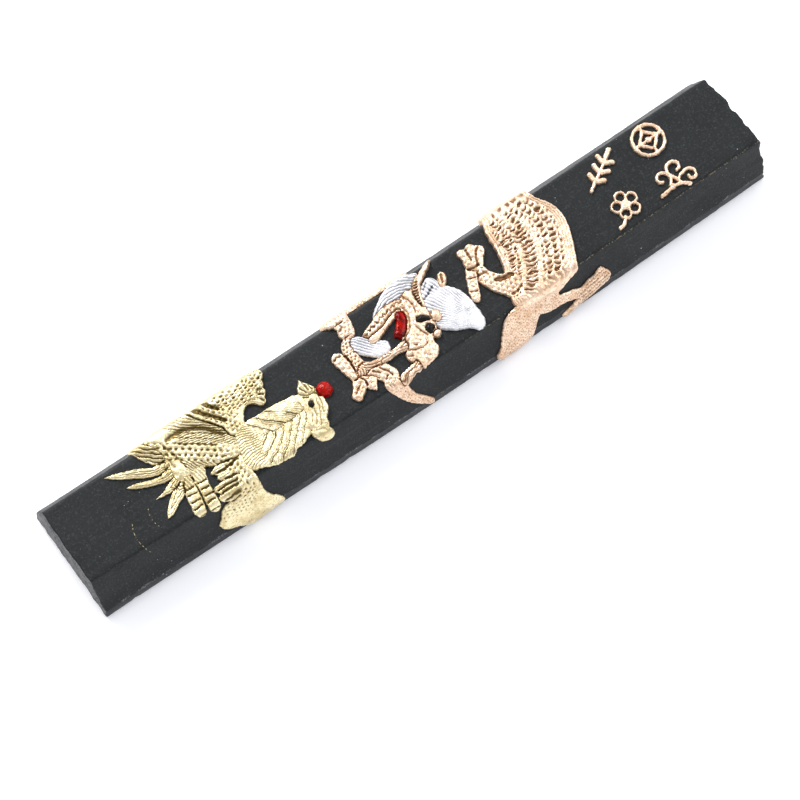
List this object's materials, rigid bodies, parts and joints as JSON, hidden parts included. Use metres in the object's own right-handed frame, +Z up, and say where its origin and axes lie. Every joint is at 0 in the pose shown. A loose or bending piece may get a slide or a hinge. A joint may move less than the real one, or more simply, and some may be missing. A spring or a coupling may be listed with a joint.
{
  "type": "ink stick",
  "caption": "Bar of pressed black ink for calligraphy, with steep drafted sides, a flat back, and a painted raised phoenix, dragon, pearl and small ornaments.",
  "frame": {"origin": "middle of the flat back that the stick rests on, half way between the rims of its two ends", "axes": "+X along the stick from the phoenix towards the ornaments, +Y across it towards the side that the figures' backs hang over, +Z up out of the decorated face"},
  "size_m": [0.1264, 0.0207, 0.0111],
  "materials": {
    "ink": "dull greenish black pressed ink, finely grained and slightly worn",
    "gold_paint": "pale gold metallic paint, brushed on by hand, darker in the hollows",
    "rose_gold_paint": "rose gold metallic paint, brushed on by hand, darker in the hollows",
    "silver_paint": "bright silver white paint",
    "red_paint": "thick glossy red paint",
    "black_paint": "glossy black paint"
  },
  "bodies": {
    "root": {"ink_bar": "ink", "dragon_back_mane": "silver_paint", "dragon_beard": "silver_paint", "dragon_body": "rose_gold_paint", "dragon_ear": "rose_gold_paint", "dragon_face": "rose_gold_paint", "dragon_flame": "rose_gold_paint", "dragon_fore_toe_1": "rose_gold_paint", "dragon_fore_toe_2": "rose_gold_paint", "dragon_fore_toe_3": "rose_gold_paint", "dragon_foreleg": "rose_gold_paint", "dragon_forepaw": "rose_gold_paint", "dragon_front_mane": "silver_paint", "dragon_hind_leg": "rose_gold_paint", "dragon_horn": "rose_gold_paint", "dragon_lower_brow": "rose_gold_paint", "dragon_lower_eye": "black_paint", "dragon_lower_whisker": "rose_gold_paint", "dragon_middle_leg": "rose_gold_paint", "dragon_middle_paw": "rose_gold_paint", "dragon_middle_toe": "rose_gold_paint", "dragon_shoulder": "rose_gold_paint", "dragon_tail": "rose_gold_paint", "dragon_tongue": "red_paint", "dragon_upper_brow": "rose_gold_paint", "dragon_upper_eye": "black_paint", "dragon_upper_jaw": "rose_gold_paint", "dragon_upper_lip": "rose_gold_paint", "dragon_upper_whisker": "rose_gold_paint", "ornament_blossom": "rose_gold_paint", "ornament_cloud_scroll": "rose_gold_paint", "ornament_framed_knot": "rose_gold_paint", "ornament_leaf_spray": "rose_gold_paint", "phoenix_beak": "gold_paint", "phoenix_body": "gold_paint", "phoenix_crest": "gold_paint", "phoenix_eye": "black_paint", "phoenix_front_leg": "gold_paint", "phoenix_head": "gold_paint", "phoenix_lowered_wing": "gold_paint", "phoenix_neck": "gold_paint", "phoenix_raised_wing": "gold_paint", "phoenix_rear_leg": "gold_paint", "phoenix_tail_plume_1": "gold_paint", "phoenix_tail_plume_2": "gold_paint", "phoenix_tail_plume_3": "gold_paint", "phoenix_tail_plume_4": "gold_paint", "phoenix_tail_plume_5": "gold_paint", "phoenix_wing_tip": "gold_paint", "red_pearl": "red_paint"}
  },
  "joints": []
}
